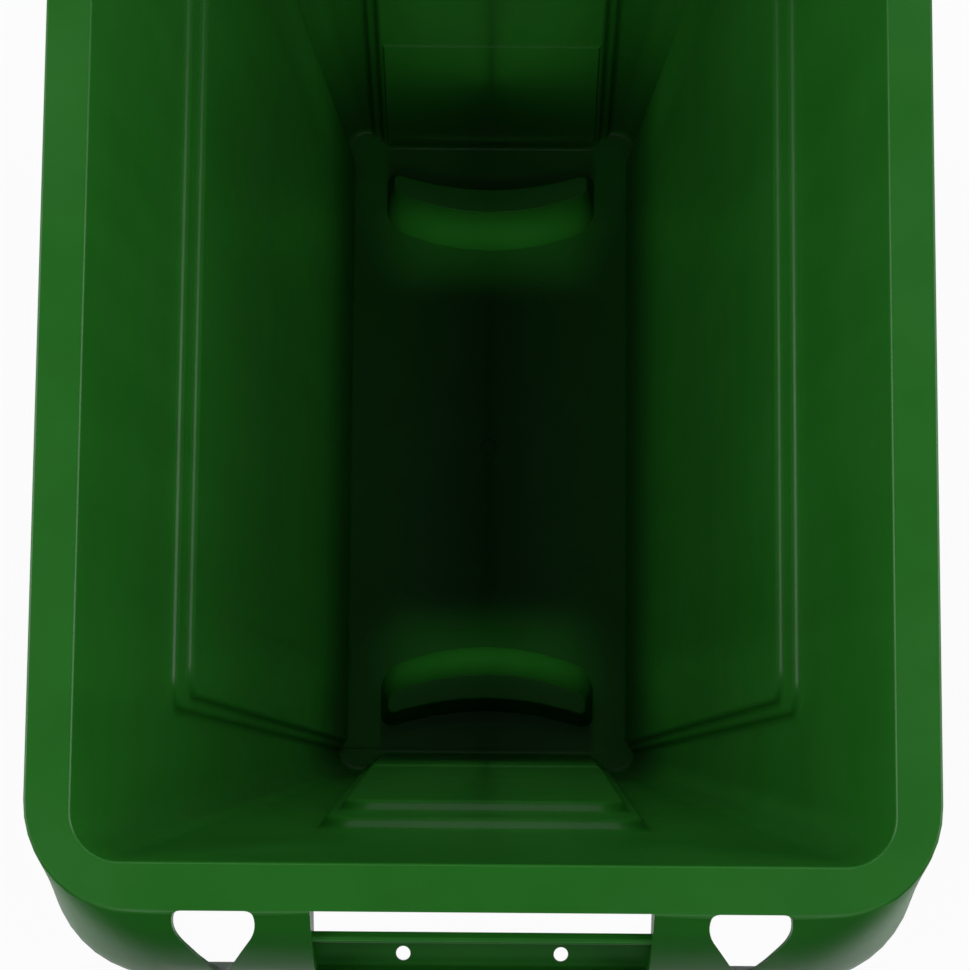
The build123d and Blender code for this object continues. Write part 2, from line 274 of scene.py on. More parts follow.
def add_box(name, low, high):
    bpy.ops.object.select_all(action="DESELECT")
    middle = (Vector(low) + Vector(high)) / 2
    size = Vector(high) - Vector(low)
    bpy.ops.mesh.primitive_cube_add(size=1, location=middle, scale=size)
    return add_object(name)


def add_rod(radius, depth, place, sides):
    bpy.ops.mesh.primitive_cylinder_add(vertices=sides, radius=radius, depth=depth, location=place)


def edit(piece, element="VERT"):
    bpy.ops.object.select_all(action="DESELECT")
    bpy.context.view_layer.objects.active = piece
    piece.select_set(True)
    bpy.ops.object.mode_set(mode="EDIT")
    bpy.ops.mesh.select_mode(type=element)
    bpy.ops.mesh.select_all(action="DESELECT")


def leave_edit():
    bpy.ops.object.mode_set(mode="OBJECT")


def pick(piece, element, test):
    """Select, by place or direction, only the points, edges or faces that pass the test."""
    bpy.ops.mesh.select_mode(type=element)
    bpy.ops.mesh.select_all(action="DESELECT")
    mesh = bmesh.from_edit_mesh(piece.data)
    family = {"VERT": mesh.verts, "EDGE": mesh.edges, "FACE": mesh.faces}[element]
    mesh.verts.index_update()
    mesh.normal_update()
    for item in family:
        if test(item):
            item.select_set(True)
    bmesh.update_edit_mesh(piece.data)


def middle_of(edge):
    return (edge.verts[0].co + edge.verts[1].co) / 2


def direction_of(edge):
    return (edge.verts[1].co - edge.verts[0].co).normalized()


def modify(piece, kind, **settings):
    """Add a modifier with these settings and apply it."""
    bpy.ops.object.select_all(action="DESELECT")
    bpy.context.view_layer.objects.active = piece
    piece.select_set(True)
    modifier = piece.modifiers.new(kind.lower(), kind)
    for key, value in settings.items():
        setattr(modifier, key, value)
    bpy.ops.object.modifier_apply(modifier=modifier.name)


def combine(piece, tool, operation):
    """Join a tool solid to the piece or cut it away, and remove the tool."""
    modify(piece, "BOOLEAN", object=tool, operation=operation, solver="MANIFOLD")
    bpy.data.objects.remove(tool)


def finish_piece(piece, nodes):
    """Plain faces, smooth shading, the body that the piece rides on and the nodes it stands for."""
    modify(piece, "TRIANGULATE", min_vertices=5)
    bpy.ops.object.shade_smooth_by_angle(angle=smooth_angle)
    modify(piece, "WEIGHTED_NORMAL", keep_sharp=True, weight=100)
    piece.data.materials.clear()
    piece.data.materials.append(bpy.data.materials.get("green_moulded_plastic"))
    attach(piece, "root")
    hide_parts(*nodes)


def nodes_named(*starts):
    return [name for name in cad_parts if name.startswith(starts)]


def inner_width(z):
    return floor_width + (mouth_width - floor_width) * (z - floor_level) / inner_depth


def inner_length(z):
    return floor_length + (mouth_length - floor_length) * (z - floor_level) / inner_depth


class WallFace:
    """Inner face of one wall: a foot point, and directions along it, up it and out of it."""

    def __init__(self, outward, half_floor, half_mouth):
        self.foot = outward * half_floor + Vector((0, 0, floor_level))
        head = outward * half_mouth + Vector((0, 0, height))
        self.up = (head - self.foot).normalized()
        self.along = Vector((0, 0, 1)).cross(outward)
        self.out = self.along.cross(self.up)

    def point(self, along, up):
        return self.foot + self.along * along + self.up * up

    def sunk(self, depth):
        """The same face, moved into the bin by a depth."""
        face = copy.copy(self)
        face.foot = self.foot - self.out * depth
        return face

    def holds(self, face):
        depth = (face.calc_center_median() - self.foot).dot(self.out)
        return face.normal.dot(self.out) > face_likeness and abs(depth) < mm


def wall_faces():
    sides = [WallFace(Vector((s, 0, 0)), floor_width / 2, mouth_width / 2) for s in (-1, 1)]
    ends = [WallFace(Vector((0, s, 0)), floor_length / 2, mouth_length / 2) for s in (-1, 1)]
    return sides, ends


def cut_face(piece, holds, point, normal):
    pick(piece, "FACE", holds)
    bpy.ops.mesh.bisect(plane_co=point, plane_no=normal, threshold=cut_tolerance)


def same_place(vert, place):
    return (vert.co - place).length < tolerance


def merge_faces(piece, test):
    pick(piece, "FACE", test)
    bpy.ops.mesh.dissolve_faces()


def round_outline(piece, corner):
    """Round one corner of a flat outline; returns the points of its arc from the head side down."""
    pick(piece, "VERT", lambda v: same_place(v, corner))
    bpy.ops.mesh.bevel(
        affect="VERTICES", offset=panel_corner_radius, segments=fillet_segments, clamp_overlap=False
    )
    mesh = bmesh.from_edit_mesh(piece.data)
    return sorted((v.co.copy() for v in mesh.verts if v.select), key=lambda co: -co.z)


def lean_of(panel):
    return (panel.head_half - panel.foot_half) / panel.height


def under_outline(vert, face, panel, end_spread, head_spread):
    """Whether a point of a wall lies within a panel's crest, or that crest spread by its ramps."""
    place = vert.co - face.foot
    up = place.dot(face.up)
    half = panel.foot_half + end_spread + lean_of(panel) * up + tolerance
    return up < panel.height + head_spread + tolerance and abs(place.dot(face.along)) < half


def cut_outlines(piece, face, holds, panel):
    """Cut the lines of a panel's crest and of its ramps' outer edge into a wall."""
    for side in (-1, 1):
        for half in (panel.foot_half, panel.foot_half + panel.end_ramp):
            line = face.along * side * lean_of(panel) + face.up
            cut_face(piece, holds, face.point(side * half, 0), line.cross(face.out))
    for level in (panel.height, panel.height + panel.head_ramp):
        cut_face(piece, holds, face.point(0, level), face.up)


def between_lines(vert):
    """Whether a point only divides a straight edge."""
    ends = [(edge.other_vert(vert).co - vert.co).normalized() for edge in vert.link_edges]
    return len(ends) == 2 and len(vert.link_faces) == 2 and ends[0].dot(ends[1]) < -straight_likeness


def round_panel_corners(piece, face, panel):
    """Round the head corners of a panel's crest and of its ramp, and join the two arcs."""
    root_level = panel.height + panel.head_ramp
    crest_half = panel.foot_half + lean_of(panel) * panel.height
    root_half = panel.foot_half + panel.end_ramp + lean_of(panel) * root_level
    for side in (-1, 1):
        crest = round_outline(piece, face.point(side * crest_half, panel.height))
        root = round_outline(piece, face.point(side * root_half, root_level))
        for crest_end, root_end in zip(crest, root):
            pick(piece, "VERT", lambda v: same_place(v, crest_end) or same_place(v, root_end))
            bpy.ops.mesh.vert_connect()


def press_panel(piece, face, holds, panel, rounded=True):
    """Press a tapered panel into a wall, with ramps at its two ends and its head."""

    def inside(item, end_spread, head_spread):
        on_panel = (under_outline(vert, face, panel, end_spread, head_spread) for vert in item.verts)
        return holds(item) and all(on_panel)

    cut_outlines(piece, face, holds, panel)
    merge_faces(piece, lambda f: holds(f) and not inside(f, panel.end_ramp, panel.head_ramp))
    merge_faces(piece, lambda f: inside(f, panel.end_ramp, panel.head_ramp) and not inside(f, 0, 0))
    pick(piece, "VERT", between_lines)
    bpy.ops.mesh.dissolve_verts()
    if rounded:
        round_panel_corners(piece, face, panel)
    pick(piece, "FACE", lambda f: inside(f, 0, 0))
    bpy.ops.transform.translate(value=face.out * -panel.inset)


def press_two_steps(piece, face, panel, run):
    """Press a panel in by two low steps, with a narrow ledge between them."""
    depth = panel.inset / 2
    height = panel.height + panel.head_ramp - run
    foot_half = panel.foot_half + panel.end_ramp - run
    outer = Panel(foot_half, foot_half + lean_of(panel) * height, height, run, run, depth)
    inner = panel._replace(end_ramp=run, head_ramp=run, inset=depth)
    ledge = face.sunk(depth)
    press_panel(piece, face, face.holds, outer)
    press_panel(piece, ledge, ledge.holds, inner)


def on_wall(face, walls):
    return any(face.normal.dot(one.out) > panel_likeness for one in walls)


def crease_radius(edge, walls):
    """Fillet radius: wide in the bin's corners, small round the panels, none inside a curve."""
    flats = [face for face in edge.link_faces if on_wall(face, walls)]
    if len(edge.link_faces) < 2 or not flats:
        return 0
    if edge.calc_face_angle() > wall_corner_angle:
        return wall_corner_radius
    return panel_fillet


def fillet_creases(piece, walls):
    """Give each crease a bevel weight that makes its own fillet, and bevel them all at once."""
    edit(piece, "EDGE")
    mesh = bmesh.from_edit_mesh(piece.data)
    weights = mesh.edges.layers.float.new("bevel_weight_edge")
    for edge in mesh.edges:
        radius = crease_radius(edge, walls)
        if radius:
            edge[weights] = radius * math.tan(edge.calc_face_angle() / 2) / wall_corner_radius
    bmesh.update_edit_mesh(piece.data)
    leave_edit()
    modify(
        piece,
        "BEVEL",
        width=wall_corner_radius,
        segments=fillet_segments,
        limit_method="WEIGHT",
        use_clamp_overlap=False,
    )


def press_pad(piece, wall_face):
    """Low pad at the foot of an end panel, a little further in than the panel."""
    foot_half = end_panel.foot_half - pad_margin
    head_half = foot_half + lean_of(end_panel) * pad_height
    pad = Panel(foot_half, head_half, pad_height, pad_rise, pad_rise, pad_rise)

    def on_panel(face):
        depth = (face.calc_center_median() - wall_face.foot).dot(wall_face.out)
        return face.normal.dot(wall_face.out) > panel_likeness and abs(depth + end_panel.inset) < mm

    press_panel(piece, wall_face, on_panel, pad, rounded=False)


def fill_loop(piece, test):
    """Close one open edge loop with a face."""
    pick(piece, "EDGE", lambda e: e.is_boundary and test(middle_of(e)))
    bpy.ops.mesh.edge_face_add()


def face_outwards():
    bpy.ops.mesh.select_all(action="SELECT")
    bpy.ops.mesh.normals_make_consistent(inside=False)


def slice_level(z, keep_below=False):
    """Cut everything off below a height, or above it."""
    bpy.ops.mesh.select_all(action="SELECT")
    bpy.ops.mesh.bisect(
        plane_co=(0, 0, z), plane_no=(0, 0, 1), clear_inner=not keep_below, clear_outer=keep_below
    )


def copy_of(piece, name):
    twin = piece.copy()
    twin.data = piece.data.copy()
    twin.name = name
    bpy.context.scene.collection.objects.link(twin)
    return twin


def hollow_floor(plate):
    """Lower the top of the floor within its edge, with a hollow fillet up to the walls."""
    pick(plate, "FACE", lambda f: f.normal.z > upright_likeness)
    reach = 0
    rise = foot_fillet
    for i in range(1, foot_fillet_steps + 1):
        turn = math.pi / 2 * i / foot_fillet_steps
        next_reach = foot_fillet * (1 - math.cos(turn))
        next_rise = foot_fillet * (1 - math.sin(turn))
        shrink = [(size - 2 * next_reach) / (size - 2 * reach) for size in (floor_width, floor_length)]
        bpy.ops.mesh.extrude_region_move(TRANSFORM_OT_translate={"value": (0, 0, next_rise - rise)})
        bpy.ops.transform.resize(value=(*shrink, 1), center_override=(0, 0, 0))
        reach = next_reach
        rise = next_rise


def make_floor_plate(shell):
    """Floor with a rounded edge against the walls, and two hollow grips that rise from it."""
    plate = copy_of(shell, "floor_with_grips")
    edit(plate)
    slice_level(floor_level - floor_thickness)
    slice_level(floor_level + foot_fillet, keep_below=True)
    fill_loop(plate, lambda co: co.z < floor_level)
    fill_loop(plate, lambda co: co.z > floor_level)
    face_outwards()
    hollow_floor(plate)
    face_outwards()
    leave_edit()
    add_grips(plate)
    add_gate_mark(plate)
    finish_piece(plate, nodes_named("floor"))


def arc_bow(radius, x):
    return radius - math.sqrt(radius**2 - x**2)


Loop = collections.namedtuple("Loop", "half_width half_length radius z centre_y", defaults=(0,))


def add_loop(loop, z):
    """Rounded rectangle of edges, at a height, in the mesh being edited."""
    bpy.ops.mesh.primitive_plane_add(size=2, location=(0, 0, z))
    bpy.ops.transform.resize(value=(loop.half_width, loop.half_length, 1), center_override=(0, 0, z))
    bpy.ops.transform.translate(value=(0, loop.centre_y, 0))
    bpy.ops.mesh.bevel(
        affect="VERTICES", offset=loop.radius, segments=corner_segments, clamp_overlap=False
    )
    bpy.ops.mesh.delete(type="ONLY_FACE")


def on_loop(vert, *counts):
    """Whether a point is on one of these loops, counted in the order in which they were added."""
    return vert.index // (4 * (corner_segments + 1)) in counts


def loft(name, loops, ring=False):
    """Solid through rounded rectangles.

    They are made well apart, joined in their order and then moved to their heights. A ring
    joins the last to the first, and any other solid is closed with a face at each end.
    """
    bpy.ops.object.select_all(action="DESELECT")
    bpy.ops.mesh.primitive_plane_add(size=1)
    piece = add_object(name)
    edit(piece)
    bpy.ops.mesh.select_all(action="SELECT")
    bpy.ops.mesh.delete(type="VERT")
    for i, loop in enumerate(loops):
        add_loop(loop, i * loop_spacing)
    last = len(loops) - 1
    for i in range(last):
        pick(piece, "EDGE", lambda e: all(on_loop(v, i, i + 1) for v in e.verts))
        bpy.ops.mesh.bridge_edge_loops()
    if ring:
        pick(piece, "EDGE", lambda e: all(on_loop(v, 0, last) for v in e.verts))
        bpy.ops.mesh.bridge_edge_loops()
    else:
        for count in (0, last):
            pick(piece, "EDGE", lambda e: all(on_loop(v, count) for v in e.verts))
            bpy.ops.mesh.edge_face_add()
    for i, loop in enumerate(loops):
        pick(piece, "VERT", lambda v: on_loop(v, i))
        bpy.ops.transform.translate(value=(0, 0, loop.z - i * loop_spacing))
    face_outwards()
    leave_edit()
    return piece


def grip_block(name, end, depth, low):
    """Crescent block of a floor grip, its skin pulled in by a depth."""
    foot_middle = (grip_inner_edge + grip_outer_edge) / 2
    head_middle = foot_middle + (grip_inner_slope - grip_outer_slope) / 2
    foot_half = (grip_outer_edge - grip_inner_edge) / 2
    head_half = foot_half - (grip_inner_slope + grip_outer_slope) / 2
    skin = Vector((depth, depth, depth))
    foot = Vector((grip_half_length, foot_half, grip_corner_radius)) - skin
    head = Vector((grip_half_length - grip_end_slope, head_half, grip_head_corner_radius)) - skin
    round_share = 1 - grip_head_fillet / grip_height
    sides = foot.lerp(head, round_share)
    middle = foot_middle + (head_middle - foot_middle) * round_share
    base = floor_level - depth
    loops = [Loop(*foot, low, end * foot_middle), Loop(*foot, base, end * foot_middle)]
    for i in range(rim_round_steps + 1):
        turn = math.pi / 2 * i / rim_round_steps
        inset = grip_head_fillet * (1 - math.cos(turn)) * grip_inset_share
        z = base + grip_height - grip_head_fillet * (1 - math.sin(turn))
        loops.append(Loop(sides.x - inset, sides.y - inset, sides.z - inset, z, end * middle))
    block = loft(name, loops)
    edit(block)
    for i in range(1, grip_slices):
        x = grip_half_length * (2 * i / grip_slices - 1)
        bpy.ops.mesh.select_all(action="SELECT")
        bpy.ops.mesh.bisect(plane_co=(x, 0, 0), plane_no=(1, 0, 0))
    bow_block(block, end, base)
    face_outwards()
    leave_edit()
    return block


def bow_block(block, end, base):
    """Bend a straight block to a crescent: inner side on the tighter arc, outer side on the wider one."""
    mesh = bmesh.from_edit_mesh(block.data)
    mesh.verts.index_update()
    columns = sorted({round(vert.co.x / tolerance) for vert in mesh.verts})
    foot_middle = (grip_inner_edge + grip_outer_edge) / 2
    lean = (grip_inner_slope - grip_outer_slope) / 2 / grip_height

    def on_inner_side(vert):
        return abs(vert.co.y) < foot_middle + lean * max(vert.co.z - base, 0)

    inner_side = {vert.index for vert in mesh.verts if on_inner_side(vert)}
    for column in columns:
        x = column * tolerance
        for radius, on_side in ((grip_inner_arc_radius, True), (grip_outer_arc_radius, False)):
            pick(
                block,
                "VERT",
                lambda v: round(v.co.x / tolerance) == column and (v.index in inner_side) == on_side,
            )
            bpy.ops.transform.translate(value=(0, end * arc_bow(radius, x), 0))


def add_grips(piece):
    """Two hollow grips that rise from the floor, open beneath."""
    for end in (-1, 1):
        combine(piece, grip_block("grip_boss", end, 0, floor_level - wall / 2), "UNION")
        combine(piece, grip_block("grip_pocket", end, wall, -wall), "DIFFERENCE")


def add_gate_mark(piece):
    """Shallow round dimple at the centre of the floor, where the plastic was let in."""
    bpy.ops.object.select_all(action="DESELECT")
    add_rod(gate_radius, 2 * gate_depth, (0, 0, floor_level), small_hole_sides)
    tool = add_object("gate_tool")
    edit(tool)
    pick(tool, "VERT", lambda v: v.co.z > floor_level)
    bpy.ops.transform.resize(value=(gate_flare, gate_flare, 1), center_override=(0, 0, 0))
    leave_edit()
    combine(piece, tool, "DIFFERENCE")


def wall_shell():
    """Inner face of all four walls with their pressed panels, open above and below."""
    corner = Vector((mouth_width / 2, mouth_length / 2, height))
    shell = add_box("wall_shell", (-corner.x, -corner.y, 0), corner)
    edit(shell)
    pick(shell, "VERT", lambda v: v.co.z < mm)
    shrink = (inner_width(0) / mouth_width, inner_length(0) / mouth_length, 1)
    bpy.ops.transform.resize(value=shrink, center_override=(0, 0, 0))
    pick(shell, "FACE", lambda f: abs(f.normal.z) > upright_likeness)
    bpy.ops.mesh.delete(type="ONLY_FACE")
    sides, ends = wall_faces()
    for face in sides:
        press_two_steps(shell, face, side_panel, side_panel_step_run)
    for face in ends:
        press_two_steps(shell, face, end_panel, end_panel_step_run)
    leave_edit()
    fillet_creases(shell, sides + ends)
    edit(shell)
    for face in ends:
        press_pad(shell, face)
    slice_level(tub_head, keep_below=True)
    face_outwards()
    leave_edit()
    return shell


def make_tub(shell):
    """Walls of one thickness from the foot ring to just under the rim."""
    tub = copy_of(shell, "tub")
    modify(tub, "SOLIDIFY", thickness=wall, offset=1, use_even_offset=True)
    edit(tub)
    for level in (0, tub_head):
        pick(tub, "VERT", lambda v: abs(v.co.z - level) < mm)
        bpy.ops.transform.resize(value=(1, 1, 0), center_override=(0, 0, level))
    leave_edit()
    walls = [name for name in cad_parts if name.endswith(("_panel", "_wall"))]
    finish_piece(tub, nodes_named("foot", "vent") + walls)


def skirt_loop(angle, depth=0.0):
    """Loop of the skirt's arc at an angle above its centre, on its skin or a depth under it."""
    share = 1 - angle / skirt_start_angle
    reach = skirt_centre_reach + (skirt_radius - depth) * math.cos(angle)
    z = skirt_centre_height + (skirt_radius - depth) * math.sin(angle)
    swell = skirt_corner_swell * math.sin(math.pi * share)
    radius = rim_corner_radius + skirt_corner_growth * share + swell
    return Loop(rim_width / 2 - depth, reach, radius - depth, z)


def skirt_angle_at(z, depth=0.0):
    return math.asin((z - skirt_centre_height) / (skirt_radius - depth))


def mouth_edge_loops(turns):
    """Loops of the round edge between the mouth and the rim."""
    loops = []
    for turn in turns:
        reach = rim_round * (1 - math.cos(turn))
        z = height - rim_round * (1 - math.sin(turn))
        radius = mouth_corner_radius + reach
        loops.append(Loop(mouth_width / 2 + reach, mouth_length / 2 + reach, radius, z))
    return loops


def rim_edge_loops(turns):
    """Loops of the round edge between the rim and the skirt."""
    edge = skirt_loop(skirt_angle_at(height - rim_round))
    length = rim_length / 2 - rim_round
    radius = rim_corner_radius - rim_round
    loops = []
    for turn in turns:
        share = math.sin(turn)
        loops.append(
            Loop(
                rim_width / 2 - rim_round * (1 - share),
                length + (edge.half_length - length) * share,
                radius + (edge.radius - radius) * share,
                height - rim_round * (1 - math.cos(turn)),
            )
        )
    return loops


def brim_loops():
    """Loops round the brim's section: up the mouth, over the rim, down the skirt and back under it."""
    head = Loop(inner_width(tub_head) / 2, inner_length(tub_head) / 2, wall_corner_radius, tub_head)
    turns = [math.pi / 2 * i / rim_round_steps for i in range(rim_round_steps + 1)]
    angles = [skirt_start_angle * (1 - i / (skirt_sections - 1)) for i in range(1, skirt_sections)]
    hem_radius = rim_corner_radius + skirt_corner_growth
    hem = Loop(rim_width / 2, overall_length / 2, hem_radius, height - skirt_depth)
    inner_hem = Loop(hem.half_width - wall, hem.half_length - wall, hem.radius - wall, hem.z)
    under = height - wall
    return [
        head,
        *mouth_edge_loops(turns),
        *rim_edge_loops(turns),
        *(skirt_loop(angle) for angle in angles),
        hem,
        inner_hem,
        *(skirt_loop(angle, wall) for angle in reversed(angles)),
        skirt_loop(skirt_angle_at(under, wall), wall),
        Loop(mouth_width / 2 + wall, mouth_length / 2 + wall, mouth_corner_radius + wall, under),
        Loop(head.half_width + wall, head.half_length + wall, head.radius + wall, tub_head),
    ]


def hem_cutter():
    """Space below the flanges, which rises from the hem at the ends to the flange along the sides."""
    low = height - skirt_depth
    top = height - rim_flange_drop
    start = rim_length / 2 - cheek_start_gap
    end = rim_length / 2 - cheek_end_gap
    half = rim_width / 2 + wall
    cutter = add_box("hem_cutter", (-half, -start, low - wall), (half, start, top))
    edit(cutter)
    for side in (-1, 1):
        pick(cutter, "VERT", lambda v: v.co.z < low and v.co.y * side > 0)
        slope = (end - start) / (top - low)
        bpy.ops.transform.translate(value=(0, side * slope * (top - low + wall), 0))
    leave_edit()
    return cutter


def hand_hole_cutter(end):
    """Window through the skirt and the rim's edge."""
    near, far = sorted((end * rim_length / 2, end * hand_hole_far_reach))
    half = hand_hole_width / 2
    low = height - hand_hole_foot_drop
    return add_box("hand_hole_cutter", (-half, near, low), (half, far, height + wall))


def cinch_cutter(x, end):
    """Upright teardrop: a wide head cut flat towards the rim, and a small round tip below."""
    head = Vector((x, end * cinch_head_reach, height))
    tip = Vector((x, end * cinch_tip_reach, height))
    bpy.ops.object.select_all(action="DESELECT")
    add_rod(cinch_head_radius, 2 * skirt_depth, head, cinch_sides)
    cutter = add_object("cinch_cutter")
    edit(cutter)
    bpy.ops.mesh.select_all(action="SELECT")
    bpy.ops.transform.resize(value=(1, cinch_head_share, 1), center_override=head)
    add_rod(cinch_tip_radius, 2 * skirt_depth, tip, cinch_sides)
    bpy.ops.mesh.select_all(action="SELECT")
    bpy.ops.mesh.convex_hull()
    bpy.ops.mesh.select_all(action="SELECT")
    bpy.ops.mesh.dissolve_limited(angle_limit=flat_angle)
    bpy.ops.mesh.select_all(action="SELECT")
    bpy.ops.mesh.bisect(
        plane_co=(0, end * cinch_flat_reach, 0), plane_no=(0, end, 0), clear_inner=True, use_fill=True
    )

    def beside_flat(edge):
        reach = abs(middle_of(edge).y)
        return abs(direction_of(edge).z) > upright_likeness and abs(reach - cinch_flat_reach) < mm / 10

    pick(cutter, "EDGE", beside_flat)
    bpy.ops.mesh.bevel(offset=cinch_corner, segments=round_segments, affect="EDGES")
    leave_edit()
    return cutter


def make_brim():
    """Rim, side flanges and flared skirts, with their hand holes and bag cinches, as one moulding."""
    brim = loft("brim", brim_loops(), ring=True)
    combine(brim, hem_cutter(), "DIFFERENCE")
    for end in (-1, 1):
        combine(brim, hand_hole_cutter(end), "DIFFERENCE")
        for side in (-1, 1):
            combine(brim, cinch_cutter(side * cinch_offset, end), "DIFFERENCE")
    finish_piece(brim, nodes_named("rim", "skirt_corner", "cinch_plate"))


def cut_away(point, normal):
    """Cut off all that lies beyond a plane and close the cut."""
    bpy.ops.mesh.select_all(action="SELECT")
    bpy.ops.mesh.bisect(plane_co=point, plane_no=normal, clear_outer=True, use_fill=True)


def make_web(end, side, nodes):
    """Gusset from the end wall to the skirt at one side of a hand hole."""
    inner = hand_hole_width / 2 + wall
    outer = inner + web_thickness
    low = height - skirt_depth
    tip = overall_length / 2
    low_x, high_x = sorted((side * inner, side * outer))
    low_y, high_y = sorted((end * web_root_reach, end * tip))
    name = nodes[0].replace("web", "gusset")
    web = add_box(name, (low_x, low_y, low), (high_x, high_y, height - wall / 2))
    edit(web)
    for i in range(skirt_sections):
        angle = skirt_start_angle * (i + 1 / 2) / skirt_sections
        skin = skirt_loop(angle, wall / 2)
        cut_away((0, end * skin.half_length, skin.z), (0, end * math.cos(angle), math.sin(angle)))
    cut_away((0, end * (tip - wall / 2), low), (0, end, 0))
    run = tip - wall - web_root_reach
    foot = (0, end * web_root_reach, low + web_foot_rise)
    cut_away(foot, (0, -end * web_foot_rise, -run))
    face_outwards()
    leave_edit()
    finish_piece(web, nodes)


def make_webs():
    for end, place in ((-1, "front"), (1, "rear")):
        for side, hand in ((-1, "left"), (1, "right")):
            make_web(end, side, nodes_named(f"hand_hole_web_{place}_{hand}"))


def trough_sheet(end, place):
    """The trough's middle surface: its section drawn as a line across the hand hole and drawn out."""
    here = Vector((0, end * trough_root_reach, height - trough_root_drop))
    bpy.ops.object.select_all(action="DESELECT")
    bpy.ops.mesh.primitive_plane_add(size=1)
    sheet = add_object("finger_slot_" + place)
    edit(sheet)
    bpy.ops.mesh.select_all(action="SELECT")
    bpy.ops.transform.resize(value=(hand_hole_width + 2 * wall, 0, 0), center_override=(0, 0, 0))
    bpy.ops.mesh.remove_doubles(threshold=tolerance)
    bpy.ops.transform.translate(value=here)
    for reach, drop in trough_path:
        there = Vector((0, end * reach, height - drop))
        bpy.ops.mesh.extrude_region_move(TRANSFORM_OT_translate={"value": there - here})
        here = there
    pick(sheet, "EDGE", lambda e: len(e.link_faces) == 2)
    bpy.ops.mesh.bevel(offset=trough_crease, segments=round_segments, affect="EDGES")
    face_outwards()
    leave_edit()
    return sheet


def top_faces_up(piece):
    return sum(face.normal.z * face.area for face in piece.data.polygons) > 0


def make_trough(end, place):
    """Finger trough below a hand hole: a ridge, a slot with two drain holes, and the way up to the lip."""
    trough = trough_sheet(end, place)
    downwards = -1 if top_faces_up(trough) else 1
    modify(trough, "SOLIDIFY", thickness=trough_wall, offset=downwards, use_even_offset=True)
    for side in (-1, 1):
        drain = (side * drain_hole_offset, end * drain_hole_reach, height - trough_floor_drop)
        bpy.ops.object.select_all(action="DESELECT")
        add_rod(drain_hole_radius, skirt_depth, drain, small_hole_sides)
        combine(trough, add_object("drain_hole_tool"), "DIFFERENCE")
    finish_piece(trough, nodes_named("finger_trough_" + place))


def make_camera():
    data = bpy.data.cameras.new("camera")
    data.sensor_width = sensor_width
    data.lens = sensor_width * focal_pixels / picture_size
    data.shift_y = (optical_axis_row - picture_size / 2) / picture_size
    camera = bpy.data.objects.new("camera", data)
    turn = Matrix.Rotation(camera_pan, 4, "Y")
    turn = turn @ Matrix.Rotation(camera_tilt, 4, "X")
    turn = turn @ Matrix.Rotation(camera_roll, 4, "Z")
    camera.matrix_world = Matrix.Translation(camera_place) @ turn
    bpy.context.scene.collection.objects.link(camera)
    bpy.context.scene.camera = camera


def node_material(name):
    """A material with node access; returns it with its nodes, links and shader."""
    material = bpy.data.materials.new(name)
    material.use_nodes = True
    nodes = material.node_tree.nodes
    return material, nodes, material.node_tree.links, nodes["Principled BSDF"]


def floor_material():
    """Pale floor that the camera sees as white, with the bin's shadow kept faintly."""
    material, nodes, links, shader = node_material("studio_floor")
    shader.inputs["Base Color"].default_value = floor_colour
    shader.inputs["Roughness"].default_value = floor_roughness
    glow = nodes.new("ShaderNodeEmission")
    glow.inputs["Color"].default_value = (1, 1, 1, 1)
    path = nodes.new("ShaderNodeLightPath")
    share = nodes.new("ShaderNodeMath")
    share.operation = "MULTIPLY"
    share.inputs[1].default_value = floor_camera_share
    links.new(path.outputs["Is Camera Ray"], share.inputs[0])
    mix = nodes.new("ShaderNodeMixShader")
    links.new(share.outputs[0], mix.inputs[0])
    links.new(shader.outputs[0], mix.inputs[1])
    links.new(glow.outputs[0], mix.inputs[2])
    links.new(mix.outputs[0], nodes["Material Output"].inputs["Surface"])
    return material


def make_studio_floor():
    bpy.ops.object.select_all(action="DESELECT")
    bpy.ops.mesh.primitive_plane_add(size=2 * floor_half_size)
    floor = bpy.context.active_object
    floor.name = "studio_floor"
    floor.data.materials.append(floor_material())


def make_world():
    """Soft even surroundings, white where the camera looks at them."""
    world = bpy.data.worlds.new("studio")
    bpy.context.scene.world = world
    world.use_nodes = True
    nodes = world.node_tree.nodes
    links = world.node_tree.links
    nodes.clear()
    soft = nodes.new("ShaderNodeBackground")
    soft.inputs["Color"].default_value = world_colour
    soft.inputs["Strength"].default_value = world_strength
    white = nodes.new("ShaderNodeBackground")
    white.inputs["Color"].default_value = (1, 1, 1, 1)
    path = nodes.new("ShaderNodeLightPath")
    mix = nodes.new("ShaderNodeMixShader")
    output = nodes.new("ShaderNodeOutputWorld")
    links.new(path.outputs["Is Camera Ray"], mix.inputs[0])
    links.new(soft.outputs[0], mix.inputs[1])
    links.new(white.outputs[0], mix.inputs[2])
    links.new(mix.outputs[0], output.inputs["Surface"])


def make_lamp(name, place, target, size, power):
    data = bpy.data.lights.new(name, "AREA")
    data.shape = "RECTANGLE"
    data.size, data.size_y = size
    data.energy = power
    lamp = bpy.data.objects.new(name, data)
    lamp.location = place
    aim = Vector(target) - Vector(place)
    lamp.rotation_mode = "QUATERNION"
    lamp.rotation_quaternion = aim.to_track_quat("-Z", "Y")
    bpy.context.scene.collection.objects.link(lamp)
    return lamp


